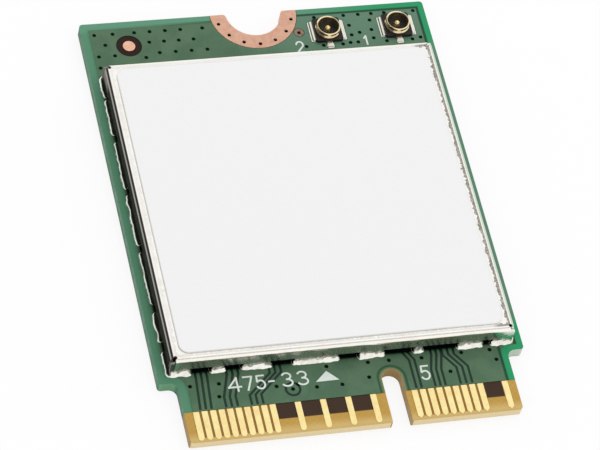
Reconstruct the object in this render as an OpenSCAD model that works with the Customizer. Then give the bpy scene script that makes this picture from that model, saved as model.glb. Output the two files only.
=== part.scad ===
// Radio card with a short edge connector, a soldered shield can and two push-on antenna jacks.
// X runs across the card, Y runs from the contact edge to the fixing notch, Z rises from the underside.
// The origin is the middle of the board, on the plane that it rests on.

/* [Board] */
// Width of the board
board_w = 22; // [21.5:0.5:30]
// Length of the board from the contact edge to the fixing end
board_l = 30; // [30:1:80]
// Thickness of the board over both skins
board_t = 0.8; // [0.6:0.1:1.6]
// Thickness of the copper and lacquer on each face
skin_t = 0.04; // [0.03:0.01:0.06]
// Rounding of the outer corners
corner_r = 0.2; // [0.1:0.05:0.5]
// Bare strip along the outline where the copper under the lacquer stops
band_w = 0.5; // [0.3:0.05:0.55]
// Width of the same strip round the key slot
key_band_w = 0.2; // [0.15:0.05:0.3]
// Depth by which the lacquer sinks where there is no copper under it
sink_t = 0.02; // [0.01:0.005:0.03]
// Clearance between a pad and the lacquer round it
pad_gap = 0.03; // [0.02:0.01:0.1]

/* [Edge connector] */
// Width of the tongue that enters the socket
tongue_w = 19.85; // [19.2:0.05:20]
// Length of the tongue from its end to the shoulders
tongue_l = 4; // [3.8:0.1:4.3]
// Rounding where the tongue meets the shoulders
shoulder_r = 0.5; // [0.2:0.1:0.5]
// Spacing between neighbouring contacts on one face
pitch = 0.5; // [0.5:0.01:0.52]
// Width of a contact
contact_w = 0.35; // [0.25:0.01:0.42]
// Length of a contact
contact_l = 1.88; // [1.5:0.02:2]
// Bare board between the contact tips and the end of the tongue
tip_gap = 0.1; // [0.05:0.05:0.5]
// Width of the key slot
key_w = 1.2; // [1:0.05:1.4]
// Depth of the key slot
key_l = 3.5; // [3:0.1:3.7]
// Bevel along the end of the tongue
bevel = 0.1; // [0.05:0.05:0.2]

/* [Fixing notch] */
// Radius of the half round notch that the fixing screw passes
fix_r = 1.75; // [1.5:0.05:2]
// Radius of the copper under the screw head
fix_pad_r = 2.75; // [2.65:0.05:3]
// Thickness of the plating in the notch
plating_t = 0.05; // [0.03:0.01:0.08]
// Number of vias in the copper under the screw head
fix_via_n = 7; // [5:2:7]

/* [Vias and marks] */
// Radius of a via
via_r = 0.12; // [0.1:0.01:0.15]
// Radius of the copper dot of the alignment mark
mark_r = 0.38; // [0.3:0.02:0.5]
// Radius of the opening round the alignment mark
mark_clear_r = 0.8; // [0.7:0.05:0.9]
// Width of an etched gap beside a track
etch_w = 0.15; // [0.1:0.01:0.17]

/* [Shield can] */
// Height of the can above the board
can_h = 1.4; // [1.3:0.05:2]
// Thickness of its sheet
sheet_t = 0.15; // [0.1:0.01:0.2]
// Outer radius of its folds
fold_r = 0.27; // [0.24:0.01:0.4]
// Distance from the can to the sides of the board
can_side = 0.67; // [0.5:0.01:1.2]
// Distance from the can to the contact edge
can_front = 4.55; // [4.3:0.05:5.3]
// Distance from the can to the fixing end
can_rear = 4.15; // [3.9:0.05:4.7]
// Height of the openings between the feet
arch_h = 0.45; // [0.2:0.05:0.5]
// Length of the feet at the corners
corner_foot = 1.2; // [1:0.1:1.3]
// Radius of the solder fillet along a foot
fillet_r = 0.13; // [0.08:0.01:0.15]

/* [Label] */
// Distance from the label to the flat top's sides
label_side = 0.3; // [0.1:0.05:1]
// Distance from the label to the flat top's front and rear
label_end = 0.2; // [0.1:0.05:1]
// Rounding of the label's corners
label_r = 0.6; // [0.3:0.1:1.5]
// Thickness of the label
label_t = 0.07; // [0.05:0.01:0.1]

/* [Antenna jacks] */
// Distance between the two jacks
jack_pitch = 4.5; // [4:0.1:4.7]
// Distance from the second jack to the side of the board
jack_side = 2.1; // [1.6:0.05:2.3]
// Distance from the jacks to the fixing end
jack_end = 1.81; // [1.6:0.01:1.9]
// Outer radius of the ring at its lip
ring_r = 0.75; // [0.7:0.01:0.9]
// Wall of the ring
ring_wall = 0.1; // [0.08:0.01:0.12]
// Height of the ring's lip above the board
ring_h = 0.6; // [0.5:0.05:0.8]
// Wall of the plastic seat beside the ring
seat_wall = 0.06; // [0.04:0.01:0.12]
// Thickness of the plastic seat above the board
seat_h = 0.22; // [0.2:0.01:0.25]
// Distance by which the tabs stand out from the seat
tab_out = 0.16; // [0.12:0.02:0.3]
// Distance by which the centre pin's lead stands out from the seat
lead_out = 0.35; // [0.25:0.05:0.4]
// Radius of the centre pin
pin_r = 0.17; // [0.12:0.01:0.2]

/* [Parts under the can] */
// Side of the square radio chip
chip_w = 9; // [8:0.5:10]
// Height of the radio chip
chip_h = 0.85; // [0.75:0.05:0.95]
// Leads along each side of the radio chip
chip_leads = 17; // [9:2:19]
// Side of a square front end module
module_w = 3; // [2:0.25:3.25]
// Height of a front end module
module_h = 0.6; // [0.5:0.05:0.8]
// Length of the crystal
crystal_l = 2.5; // [2:0.1:3.2]
// Length of a small capacitor or resistor over its ends
chip_part_l = 1; // [0.6:0.1:1.1]

/* [Hidden] */
$fn = 48;

// Small overlap between shapes that are joined, and past faces that are cut
lap = 0.02;

// Planes and edges of the board
edge_y = -board_l / 2;
fix_y = board_l / 2;
shoulder_y = edge_y + tongue_l;
core_z = skin_t;
core_top = board_t - skin_t;

// The lacquer stops where the contacts start
contact_y = edge_y + tip_gap + contact_l;
contact_count = 75;
key_first = 24;
key_last = 31;
key_x = contact_x((key_first + key_last) / 2);
// Odd positions of the upper face that carry no contact
open_pins = [3, 5, 35, 37, 41, 43, 47, 49, 53, 55];
// Contacts below this number have a pointed tip
pointed_below = 24;

// The copper round the fixing notch has its vias on this circle
fix_via_ring = 2.42;
fix_via_step = 24.4;

// The can, from the outside of one wall to the outside of the other
can_w = board_w - 2 * can_side;
can_l = board_l - can_front - can_rear;
can_y = edge_y + can_front + can_l / 2;
can_z = board_t + can_h;
flat_w = can_w - 2 * fold_r;
flat_l = can_l - 2 * fold_r;
wall_slit = 0.05;
// Relief hole at each corner of the flat top, inside the bends of both folds
relief_r = fold_r - sheet_t - 0.01;
// Feet of the front wall as [centre, length], clear of the tracks that pass under the wall
front_feet = [[-7.45, 0.7], [-5.15, 1.6], [-1.6, 2.6], [1.75, 1.4], [4.6, 0.45], [7.75, 1.4]];
// Feet of the rear wall in the same form
rear_feet = [[-6, 2.4], [-1.5, 2.4], [2.2, 1.4], [6.65, 1.8]];
// Feet of the side walls in shares of the wall, as [distance of the centre from the front wall, length]
side_feet = [[0.151, 0.084], [0.312, 0.158], [0.505, 0.158], [0.691, 0.149], [0.858, 0.112]];
// Width of a pad, with the wall in its middle, and the rounding of its ends as a share of that
foot_pad_w = sheet_t + 2 * fillet_r;
pad_round = 0.45;
// The fillet stops short of the ends of its foot
fillet_short = 0.05;

// The jacks
jack_x = [board_w / 2 - jack_side - jack_pitch, board_w / 2 - jack_side];
jack_y = fix_y - jack_end;
ring_inner = ring_r - ring_wall;
// Section of the ring: a tapered flange at its foot, a waist for the plug's spring, and the lip
flange_r = ring_r + 0.05;
flange_taper = 0.02;
flange_over = 0.04;
waist_r = ring_r - 0.05;
waist_below = 0.05;
lip_h = 0.19;
edge_break = 0.05;
// The seat reaches this far in front of the ring's middle and behind it
seat_front = flange_r + 0.09;
seat_rear = flange_r + 0.05;
seat_w = 2 * (flange_r + seat_wall);
seat_round = 0.15;
seat_gap = 0.01;
tab_t = 0.1;
tab_l = 1.42;
tab_root = ring_inner + 0.02;
tabs_w = seat_w + 2 * tab_out;
tab_pad_w = 0.24;
tab_pad_over = 0.04;
lead_t = 0.07;
lead_w = 0.36;
lead_end = jack_y - seat_front - lead_out;
lead_pad_l = 0.36;
pin_h = 0.47;

// The mark, the test ring and the ringed via
mark_at = [2.8 - board_w / 2, fix_y - 1.88];
test_at = [board_w / 2 - 8.4, fix_y - 1.78];
test_ring_r = 0.32;
ring_groove_at = [-3.33, edge_y + 2.82];
ring_groove_r = 0.42;

// Vias of the contact end, as [distance from the contact edge, first x, step, count]
front_vias = [
    [4.1, -1.05, 1, 1], [4.1, 1.45, 1.27, 2], [4.05, 4.7, 1, 1], [4.15, 7.15, 1.75, 2],
    [3.65, -9.25, 1.7, 2], [3.45, 9.15, 1, 1], [3.1, -4.25, 1.28, 2], [3.1, 1.3, 1, 1],
    [2.95, 6.2, 1, 1], [2.8, -7.7, 1, 1], [2.8, -1.9, 1.52, 2], [2.82, -3.33, 1, 1]
];
// Vias of the fixing end, as [distance from the fixing end, first distance from the near side, step, count]
rear_left_vias = [
    [0.9, 0.8, 1.15, 2], [0.9, 3.3, 0.97, 4], [0.9, 7.6, 1, 1],
    [1.7, 1.35, 1, 1], [1.7, 4.1, 0.93, 4],
    [2.55, 0.8, 1, 2], [2.85, 3.7, 1, 1], [2.55, 4.6, 1, 4], [3.4, 0.75, 1, 1]
];
rear_right_vias = [
    [0.7, 0.75, 1, 1], [0.7, 2.65, 0.85, 3], [0.7, 5.3, 1.9, 2],
    [1.2, 3.7, 1, 1], [1.5, 5.1, 1, 1], [1.95, 3.75, 1, 1], [2.1, 4.55, 1, 1], [2.25, 5.1, 1, 1],
    [2.6, 3.75, 1, 1], [2.8, 0.75, 1, 1], [2.83, 4.8, 0.5, 2],
    [2.9, 1.3, 1.66, 2], [2.9, 5.8, 1.25, 2], [2.9, 8.15, 1, 1]
];

// Round joints of the etched gaps are a little wider than the gaps
joint_r = 0.55 * etch_w;
// Etched gaps between the tracks, each a run of points [x, distance from the contact edge].
// A group is one run repeated across the card at its own spacing.
track_end = can_front + 1;
track_groups = [
    [3, 0.33, [[-8.96, 2.05], [-8.8, 4.2], [-8.8, track_end]]],
    [3, 0.34, [[-7.43, 2.05], [-7.43, 2.75], [-6.97, 4.2], [-6.97, track_end]]],
    [3, 0.34, [[-5.92, 2.05], [-5.92, 2.7], [-4.45, 4.05], [-4.45, track_end]]],
    [2, 0.32, [[3.92, 2.05], [3.92, 3.98], [3.6, 4.6], [3.6, track_end]]],
    [3, 0.31, [[5.08, 2.05], [5.08, 3.2], [5.33, 4.2], [5.33, track_end]]],
    [3, 0.35, [[6.62, 2.05], [6.62, 3.2], [6, 4.1], [6, track_end]]]
];

// Heights and places of the parts under the can, measured from the can's middle
chip_at = [0.4, -1.6];
chip_pad = 5.8;
chip_pad_round = 0.3;
chip_corner_cut = 0.6;
// Lead as [width, length, height], and the distance from a corner of the chip to its first lead
chip_lead = [0.2, 0.35, 0.03];
chip_lead_side = 0.7;
// Round dimples that show the first corner, as [radius, depth, distance from both sides]
chip_dimple = [0.3, 0.05, 0.8];
module_dimple = [0.15, 0.04, 0.45];
memory_dimple = [0.12, 0.03, 0.4];
body_round = 0.1;
module_at = [[0.6, 6.4], [6.4, 6.4]];
filter_size = [1.25, 2, 0.8];
filter_rear = 1.6;
crystal_at = [-7.4, 5];
crystal_w = 2;
crystal_case_h = 0.42;
crystal_wall = 0.3;
crystal_floor = 0.15;
crystal_round = 0.2;
crystal_cap_side = 0.1;
crystal_cap_h = 0.12;
memory_at = [-7.4, 0.8];
memory_size = [2, 3, 0.55];
memory_lead_pairs = 4;
memory_lead_step = 0.65;
coil_at = [-7.4, -4.2];
coil_size = [2, 2.5, 0.95];
coil_end_l = 0.5;
part_w_share = 0.5;
cap_end_l = 0.24;
cap_h = 0.5;
resistor_h = 0.32;
// Rows of small capacitors and resistors, as [first x, first y, step x, step y, count, turned]
capacitor_rows = [
    [-2.9, -7.6, 1.1, 0, 7, true], [-2.9, 4, 1.1, 0, 7, true], [6.3, -5.1, 0, 1.1, 7, false],
    [-9.1, -8.2, 1.1, 0, 4, true], [3.5, 5.3, 0, 1.1, 3, false]
];
resistor_rows = [
    [-5.3, -5.1, 0, 1.1, 7, false], [8.2, -5.1, 0, 1.1, 7, false], [-9.1, 8.4, 1.1, 0, 6, true]
];

function contact_x(pin) = ((contact_count + 1) / 2 - pin) * pitch / 2;
function in_key(pin) = pin >= key_first && pin <= key_last;
function is_open(pin) = len([for (p = open_pins) if (p == pin) 1]) > 0;
function from_edge(v) = edge_y + v;

// Waste outside a rounded corner, for a board that lies toward -X and -Y
module corner_waste(r) {
    translate([-r, -r])
        difference() {
            square(r + lap);
            circle(r);
        }
}

// Fill inside a rounded inner corner, for walls that run along +X and +Y
module corner_fill(r) {
    difference() {
        translate([-lap, -lap]) square(r + lap);
        translate([r, r]) circle(r);
    }
}

// Flat rounded rectangle about the origin
module rounded_plate(w, l, r) {
    difference() {
        square([w, l], center = true);
        for (sx = [0, 1], sy = [0, 1])
            mirror([sx, 0]) mirror([0, sy]) translate([w / 2, l / 2]) corner_waste(r);
    }
}

// Outline of the card. With an inset, every edge moves into the board by that much,
// and the key slot's edge by no more than its own band.
module board_outline(inset = 0, notch_r = fix_r) {
    half_w = board_w / 2 - inset;
    half_tongue = tongue_w / 2 - inset;
    shoulder = shoulder_y + inset;
    far = fix_y - inset;
    outer_r = max(corner_r - inset, 0);
    inner_r = shoulder_r + inset;
    difference() {
        union() {
            translate([-half_w, shoulder]) square([2 * half_w, far - shoulder]);
            translate([-half_tongue, edge_y + inset]) square([2 * half_tongue, tongue_l + lap]);
            for (s = [0, 1])
                mirror([s, 0]) translate([half_tongue, shoulder]) mirror([0, 1]) corner_fill(inner_r);
        }
        if (outer_r > 0)
            for (s = [0, 1]) mirror([s, 0]) {
                translate([half_w, far]) corner_waste(outer_r);
                translate([half_w, shoulder]) mirror([0, 1]) corner_waste(outer_r);
                translate([half_tongue, edge_y]) mirror([0, 1]) corner_waste(outer_r);
                translate([-notch_r, far]) corner_waste(outer_r);
            }
        key_slot(min(inset, key_band_w));
        translate([0, fix_y]) circle(notch_r + inset);
    }
}

// The key slot with its round end
module key_slot(inset = 0) {
    half = key_w / 2 + inset;
    arc_y = edge_y + key_l - key_w / 2;
    translate([key_x - half, edge_y - lap]) square([2 * half, arc_y - edge_y + lap]);
    translate([key_x, arc_y]) circle(half);
}

module at_vias() {
    for (row = front_vias, i = [0 : row[3] - 1])
        translate([row[1] + i * row[2], from_edge(row[0])]) children();
    for (row = rear_left_vias, i = [0 : row[3] - 1])
        translate([row[1] + i * row[2] - board_w / 2, fix_y - row[0]]) children();
    for (row = rear_right_vias, i = [0 : row[3] - 1])
        translate([board_w / 2 - row[1] - i * row[2], fix_y - row[0]]) children();
}

module at_fixing_vias() {
    half = (fix_via_n - 1) / 2;
    for (k = [-half : half])
        translate([0, fix_y]) rotate(k * fix_via_step) translate([0, -fix_via_ring]) children();
}

// Glass and resin sheet, drilled for the vias and bevelled along the contact edge
module laminate_core() {
    color("darkkhaki")
        difference() {
            translate([0, 0, core_z]) linear_extrude(core_top - core_z) board_outline(0, fix_r + plating_t);
            translate([0, 0, core_z - lap]) linear_extrude(board_t) {
                at_vias() circle(via_r);
                at_fixing_vias() circle(via_r);
                translate(test_at) circle(via_r);
            }
            for (z = [core_z, core_top]) translate([0, edge_y, z]) edge_bevel();
        }
}

module edge_bevel() {
    rotate([45, 0, 0]) cube([board_w, bevel * sqrt(2), bevel * sqrt(2)], center = true);
}

// Area that the lacquer covers on either face
module lacquer_area(inset = 0) {
    difference() {
        board_outline(inset);
        translate([-board_w / 2, edge_y - lap]) square([board_w, contact_y - edge_y + lap]);
        translate([0, fix_y]) circle(fix_pad_r + pad_gap);
    }
}

// Sheet of lacquer that lies high over the copper and low along the bare edge, with its top at z = 0
module lacquer_sheet() {
    translate([0, 0, -skin_t]) {
        linear_extrude(skin_t - sink_t) lacquer_area();
        linear_extrude(skin_t) lacquer_area(band_w);
    }
}

// One etched gap as a chain of straight cuts, with a round joint a little wider than the cuts
module etched_run(points) {
    for (i = [0 : len(points) - 2]) {
        a = [points[i][0], from_edge(points[i][1])];
        b = [points[i + 1][0], from_edge(points[i + 1][1])];
        translate(a) rotate(atan2(b[1] - a[1], b[0] - a[0])) translate([0, -etch_w / 2])
            square([norm(b - a), etch_w]);
        if (i > 0) translate(a) circle(joint_r);
    }
}

module lacquer_top() {
    color("darkseagreen")
        translate([0, 0, board_t]) difference() {
            lacquer_sheet();
            translate([0, 0, -sink_t]) linear_extrude(board_t) {
                at_vias() circle(via_r);
                for (group = track_groups, i = [0 : group[0] - 1])
                    translate([i * group[1], 0]) etched_run(group[2]);
                translate(ring_groove_at) difference() {
                    circle(ring_groove_r + etch_w / 2);
                    circle(ring_groove_r - etch_w / 2);
                }
            }
            translate([0, 0, -board_t]) linear_extrude(2 * board_t) {
                translate(mark_at) circle(mark_clear_r);
                translate(test_at) circle(test_ring_r + pad_gap);
                can_pads(pad_gap);
                jack_pads(pad_gap);
            }
        }
}

module lacquer_bottom() {
    color("darkseagreen")
        mirror([0, 0, 1]) difference() {
            lacquer_sheet();
            translate([0, 0, -sink_t]) linear_extrude(board_t) {
                at_vias() circle(via_r);
                translate(test_at) circle(via_r);
            }
        }
}

// Copper round the fixing notch on both faces, joined by the plated wall of the notch
module fixing_pad() {
    color("burlywood")
        difference() {
            union() {
                for (z = [0, core_top]) translate([0, 0, z]) linear_extrude(skin_t) fixing_ring(fix_pad_r);
                linear_extrude(board_t) fixing_ring(fix_r + plating_t);
            }
            translate([0, 0, -lap]) linear_extrude(board_t + 2 * lap) at_fixing_vias() circle(via_r);
        }
}

module fixing_ring(r) {
    difference() {
        translate([0, fix_y]) circle(r);
        translate([0, fix_y]) circle(fix_r);
        translate([-2 * r, fix_y]) square([4 * r, 2 * r]);
        for (s = [0, 1]) mirror([s, 0]) translate([-fix_r, fix_y]) corner_waste(corner_r);
    }
}

// One contact, from the edge of the lacquer toward the end of the tongue
module contact(pointed) {
    straight = contact_l - contact_w / 2;
    linear_extrude(skin_t) {
        translate([-contact_w / 2, -straight]) square([contact_w, straight]);
        if (pointed) translate([0, -straight]) circle(contact_w / 2, $fn = 4);
        else translate([0, -straight]) circle(contact_w / 2);
    }
}

module contacts_top() {
    color("navajowhite")
        for (pin = [1 : 2 : contact_count])
            if (!in_key(pin) && !is_open(pin))
                translate([contact_x(pin), contact_y - pad_gap, core_top]) contact(pin < pointed_below);
}

module contacts_bottom() {
    color("navajowhite")
        for (pin = [2 : 2 : contact_count])
            if (!in_key(pin)) translate([contact_x(pin), contact_y - pad_gap, 0]) contact(false);
}

module alignment_mark() {
    color("chocolate") translate([mark_at[0], mark_at[1], core_top]) cylinder(h = skin_t, r = mark_r);
}

// Bare copper ring with its plated hole through the board
module test_ring() {
    color("peru")
        translate([test_at[0], test_at[1], core_top]) difference() {
            cylinder(h = skin_t, r = test_ring_r);
            translate([0, 0, -lap]) cylinder(h = board_t, r = via_r);
        }
}

// Wall and fold in section: the wall's outer face is x = 0 and the board is y = 0
module fold_section() {
    intersection() {
        translate([fold_r, can_h - fold_r]) difference() {
            circle(fold_r);
            circle(fold_r - sheet_t);
        }
        translate([0, can_h - fold_r]) square(fold_r);
    }
    translate([0, can_h - 2 * fold_r]) square([sheet_t, fold_r]);
}

// A wall that stands on the board plane, with its outer face at y = 0 and its middle at x = 0.
// wall_l is the length at the foot, fold_l the shorter length of the fold above it.
module can_wall(wall_l, fold_l, feet) {
    rotate([90, 0, 0]) rotate([0, 90, 0]) {
        translate([0, 0, -fold_l / 2]) linear_extrude(fold_l) fold_section();
    }
    difference() {
        translate([-wall_l / 2, 0, 0]) cube([wall_l, sheet_t, can_h - fold_r]);
        wall_arches(wall_l, feet);
    }
}

// Openings between the feet of a wall, which let the tracks through
module wall_arches(wall_l, feet) {
    difference() {
        translate([-wall_l, -lap, -lap]) cube([2 * wall_l, sheet_t + 2 * lap, arch_h + lap]);
        at_feet(wall_l, feet) translate([-$foot_l / 2, -2 * lap, -2 * lap])
            cube([$foot_l, sheet_t + 4 * lap, arch_h + 4 * lap]);
    }
}

// Places its children at the middle of each foot of a wall, with the foot's length in $foot_l
module at_feet(wall_l, feet) {
    for (foot = feet) {
        $foot_l = foot[1];
        translate([foot[0], 0]) children();
    }
    for (s = [-1, 1]) {
        $foot_l = corner_foot;
        translate([s * (wall_l - corner_foot) / 2, 0]) children();
    }
}

function side_places(sign) = [for (foot = side_feet) [sign * (foot[0] - 0.5) * can_l, foot[1] * can_l]];
function flip(feet) = [for (foot = feet) [-foot[0], foot[1]]];

// Puts its children at each wall of the can, told which wall it is by $wall_l, $fold_l and $feet
module at_walls(corner_gap) {
    translate([0, can_y]) {
        for (end = [0, 1]) {
            $wall_l = can_w;
            $fold_l = flat_w;
            $feet = end == 0 ? front_feet : flip(rear_feet);
            rotate(end * 180) translate([0, -can_l / 2]) children();
        }
        for (side = [-1, 1]) {
            $wall_l = can_l - 2 * corner_gap;
            $fold_l = flat_l;
            $feet = side_places(side);
            translate([side * can_w / 2, 0]) rotate(side * 90) children();
        }
    }
}

// The can is one folded sheet: a flat top, four folds and four walls with feet
module shield_can() {
    color("silver")
        difference() {
            union() {
                translate([0, can_y, can_z - sheet_t]) linear_extrude(sheet_t)
                    square([flat_w, flat_l], center = true);
                translate([0, 0, board_t]) at_walls(sheet_t + wall_slit)
                    can_wall($wall_l, $fold_l, $feet);
            }
            for (sx = [-1, 1], sy = [-1, 1])
                translate([sx * flat_w / 2, can_y + sy * flat_l / 2, 0])
                    cylinder(h = 2 * can_z, r = relief_r);
        }
}

module can_label() {
    color("whitesmoke")
        translate([0, can_y, can_z]) linear_extrude(label_t)
            rounded_plate(flat_w - 2 * label_side, flat_l - 2 * label_end, label_r);
}

// Plan of the pads that the feet stand on, grown by the clearance of the lacquer
module can_pads(grow = 0) {
    at_walls(sheet_t + wall_slit) translate([0, sheet_t / 2]) at_feet($wall_l, $feet)
        rounded_plate(
            $foot_l + 2 * (fillet_r + grow),
            foot_pad_w + 2 * grow,
            pad_round * foot_pad_w + grow
        );
}

// Solder under the feet, with a hollow fillet up the outer face of each foot
module can_solder() {
    color("gainsboro") {
        translate([0, 0, core_top]) linear_extrude(skin_t) can_pads();
        translate([0, 0, board_t - lap]) at_walls(sheet_t + wall_slit) at_feet($wall_l, $feet)
            mirror([0, 1, 0]) hollow_fillet($foot_l - 2 * fillet_short, fillet_r);
    }
}

// Fillet along X against the plane y = 0, on the +Y side, sunk by lap into the pad below
module hollow_fillet(l, r) {
    translate([-l / 2, 0, 0]) rotate([90, 0, 90]) linear_extrude(l) difference() {
        square([r, r + lap]);
        translate([r, r + lap]) circle(r);
    }
}

// Plan of one side tab of a jack, from under the ring's wall out to the given distance
module tab_plan(out) {
    translate([tab_root, -tab_l / 2]) square([out - tab_root, tab_l]);
}

// Insulating seat of a jack, with a round pocket for the ring and spaces for the tabs and the lead
module jack_seat(x) {
    color("dimgray")
        translate([x, jack_y, board_t]) difference() {
            linear_extrude(seat_h) translate([0, (seat_rear - seat_front) / 2])
                rounded_plate(seat_w, seat_front + seat_rear, seat_round);
            translate([0, 0, tab_t]) cylinder(h = seat_h, r = flange_r);
            translate([0, 0, -lap]) linear_extrude(tab_t + lap)
                for (s = [0, 1]) mirror([s, 0]) tab_plan(seat_w);
            translate([0, 0, -lap]) linear_extrude(lead_t + seat_gap + lap) lead_plan(seat_gap);
            translate([0, 0, -lap]) cylinder(h = seat_h, r = pin_r + seat_gap);
        }
}

// Ground shell of a jack: a turned ring with a waist, and two tabs that are soldered
module jack_shell(x) {
    color("goldenrod")
        translate([x, jack_y, board_t]) {
            translate([0, 0, tab_t]) rotate_extrude() ring_section(ring_h - tab_t);
            linear_extrude(tab_t) for (s = [0, 1]) mirror([s, 0]) tab_plan(tabs_w / 2);
        }
}

// Section of the ring from its foot to its lip, with broken edges on the lip
module ring_section(h) {
    flange_h = seat_h - tab_t + flange_over;
    lip_z = h - lip_h;
    difference() {
        polygon([
            [ring_inner, 0], [flange_r, 0], [flange_r - flange_taper, flange_h],
            [waist_r, lip_z - waist_below], [ring_r, lip_z], [ring_r, h], [ring_inner, h]
        ]);
        for (r = [ring_inner, ring_r]) translate([r, h]) rotate(45) square(edge_break, center = true);
    }
}

module lead_plan(grow = 0) {
    reach = jack_y - lead_end;
    translate([-lead_w / 2 - grow, -reach]) square([lead_w + 2 * grow, reach]);
}

// Centre contact of a jack: a domed pin on a flat lead that leaves toward the can
module jack_pin(x) {
    stem_h = pin_h - pin_r;
    color("gold")
        translate([x, jack_y, board_t]) {
            cylinder(h = stem_h, r = pin_r);
            translate([0, 0, stem_h]) difference() {
                sphere(pin_r);
                translate([0, 0, -pin_r]) cube(2 * pin_r, center = true);
            }
            linear_extrude(lead_t) lead_plan();
        }
}

// Plan of the pads of both jacks
module jack_pads(grow = 0) {
    for (x = jack_x) translate([x, jack_y]) {
        for (s = [-1, 1]) translate([s * tabs_w / 2, 0])
            square([tab_pad_w + 2 * grow, tab_l + 2 * (tab_pad_over + grow)], center = true);
        translate([0, lead_end - jack_y + lead_pad_l / 2 - tab_pad_over])
            square([lead_w + 2 * (tab_pad_over + grow), lead_pad_l + 2 * grow], center = true);
    }
}

module jack_solder() {
    color("gainsboro") {
        translate([0, 0, core_top]) linear_extrude(skin_t) jack_pads();
        for (x = jack_x) translate([x, jack_y, board_t - lap]) {
            for (s = [0, 1]) mirror([s, 0, 0]) translate([tabs_w / 2, 0, 0]) rotate(-90)
                hollow_fillet(tab_l, tab_t);
            translate([0, lead_end - jack_y, 0]) rotate(180) hollow_fillet(lead_w, lead_t);
        }
    }
}

// Moves its children to a place under the can, on the board
module under_can(at) {
    translate([at[0], can_y + at[1], board_t]) children();
}

// Dimple in a body of width w and length l with its top at z = h
module dimple(size, w, l, h) {
    translate([size[2] - w / 2, l / 2 - size[2], h - size[1]]) cylinder(h = h, r = size[0]);
}

// Moulded chip with a bevelled first corner and a dimple beside it
module radio_chip() {
    color("dimgray")
        under_can(chip_at) difference() {
            translate([0, 0, chip_lead[2]]) linear_extrude(chip_h - chip_lead[2]) difference() {
                square(chip_w, center = true);
                translate([-chip_w / 2, chip_w / 2]) rotate(45) square(chip_corner_cut, center = true);
            }
            dimple(chip_dimple, chip_w, chip_w, chip_h);
        }
}

// Leads and heat pad under the radio chip
module radio_chip_leads() {
    step = (chip_w - 2 * chip_lead_side) / (chip_leads - 1);
    color("gainsboro")
        under_can(chip_at) {
            for (turn = [0 : 90 : 270], i = [0 : chip_leads - 1])
                rotate(turn)
                    translate([i * step + chip_lead_side - (chip_w + chip_lead[0]) / 2, -chip_w / 2, 0])
                        cube(chip_lead);
            linear_extrude(chip_lead[2]) rounded_plate(chip_pad, chip_pad, chip_pad_round);
        }
}

// Amplifier and switch modules of the two antenna paths
module front_end_modules() {
    color("dimgray")
        for (at = module_at) under_can(at) difference() {
            linear_extrude(module_h) rounded_plate(module_w, module_w, body_round);
            dimple(module_dimple, module_w, module_w, module_h);
        }
}

// Ceramic filters behind the jacks
module antenna_filters() {
    color("lightgray")
        for (x = jack_x) translate([x, can_y + can_l / 2 - filter_rear, board_t])
            linear_extrude(filter_size[2])
                rounded_plate(filter_size[0], filter_size[1], body_round);
}

module crystal_case() {
    color("khaki")
        under_can(crystal_at) difference() {
            linear_extrude(crystal_case_h) rounded_plate(crystal_w, crystal_l, crystal_round);
            translate([0, 0, crystal_floor]) linear_extrude(crystal_case_h)
                rounded_plate(crystal_w - 2 * crystal_wall, crystal_l - 2 * crystal_wall, body_round);
        }
}

module crystal_cap() {
    color("silver")
        under_can(crystal_at) translate([0, 0, crystal_case_h]) linear_extrude(crystal_cap_h)
            rounded_plate(
                crystal_w - 2 * crystal_cap_side,
                crystal_l - 2 * crystal_cap_side,
                crystal_round
            );
}

module memory_chip() {
    color("dimgray")
        under_can(memory_at) difference() {
            translate([0, 0, chip_lead[2]]) linear_extrude(memory_size[2])
                rounded_plate(memory_size[0], memory_size[1], body_round);
            dimple(memory_dimple, memory_size[0], memory_size[1], chip_lead[2] + memory_size[2]);
        }
}

module memory_chip_leads() {
    color("gainsboro")
        under_can(memory_at) for (s = [0, 1], i = [0 : memory_lead_pairs - 1])
            mirror([s, 0, 0])
                translate([
                    memory_size[0] / 2 - chip_lead[1],
                    (i - (memory_lead_pairs - 1) / 2) * memory_lead_step - chip_lead[0] / 2,
                    0
                ])
                    cube([chip_lead[1], chip_lead[0], chip_lead[2]]);
}

// Ferrite block of the power converter's coil, between its two end caps
module power_coil() {
    color("slategray")
        under_can(coil_at) linear_extrude(coil_size[2])
            square([coil_size[0], coil_size[1] - 2 * coil_end_l], center = true);
}

module power_coil_ends() {
    color("gainsboro")
        under_can(coil_at) linear_extrude(coil_size[2]) for (s = [0, 1]) mirror([0, s])
            translate([-coil_size[0] / 2, coil_size[1] / 2 - coil_end_l]) square([coil_size[0], coil_end_l]);
}

module at_rows(rows) {
    for (row = rows, i = [0 : row[4] - 1])
        under_can([row[0] + i * row[2], row[1] + i * row[3]]) rotate(row[5] ? 90 : 0) children();
}

module small_body(h) {
    translate([0, 0, h / 2])
        cube([chip_part_l - 2 * cap_end_l, chip_part_l * part_w_share, h], center = true);
}

module small_ends(h) {
    for (s = [0, 1]) mirror([s, 0, 0])
        translate([chip_part_l / 2 - cap_end_l, -chip_part_l * part_w_share / 2, 0])
            cube([cap_end_l, chip_part_l * part_w_share, h]);
}

module capacitor_bodies() {
    color("tan") at_rows(capacitor_rows) small_body(cap_h);
}

module capacitor_ends() {
    color("silver") at_rows(capacitor_rows) small_ends(cap_h);
}

module resistor_bodies() {
    color("dimgray") at_rows(resistor_rows) small_body(resistor_h);
}

module resistor_ends() {
    color("silver") at_rows(resistor_rows) small_ends(resistor_h);
}

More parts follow.
